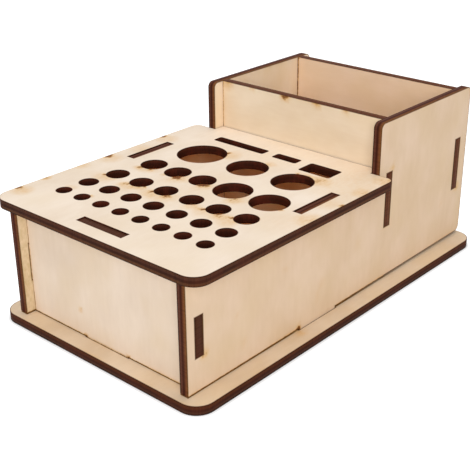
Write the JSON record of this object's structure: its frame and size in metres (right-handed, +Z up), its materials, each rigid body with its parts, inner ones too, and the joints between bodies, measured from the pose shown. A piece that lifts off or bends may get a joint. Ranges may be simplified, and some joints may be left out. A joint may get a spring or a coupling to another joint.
{
  "type": "tool storage caddy",
  "caption": "Desktop tool caddy of tabbed plywood sheets: a lift-off deck of round sockets and slots for hobby tools in front of an open bin, on an overhanging base plate.",
  "frame": {"origin": "middle of the base plate's underside", "axes": "+X to the right seen from the front, +Y from the tool rows to the bin at the back, +Z up"},
  "size_m": [0.139, 0.2358, 0.0942],
  "materials": {
    "plywood": "bare plywood with dark laser-cut edges"
  },
  "bodies": {
    "box": {"base_plate": "plywood", "left_side_wall": "plywood", "right_side_wall": "plywood", "front_panel": "plywood", "bin_front_wall": "plywood", "rear_wall": "plywood"},
    "tool_plate": {"tool_plate": "plywood"}
  },
  "joints": [
    {"name": "tool_plate_lift", "type": "slide", "parent": "box", "child": "tool_plate", "axis": [0, 0, 1], "range_m": [0, 0.06]}
  ]
}
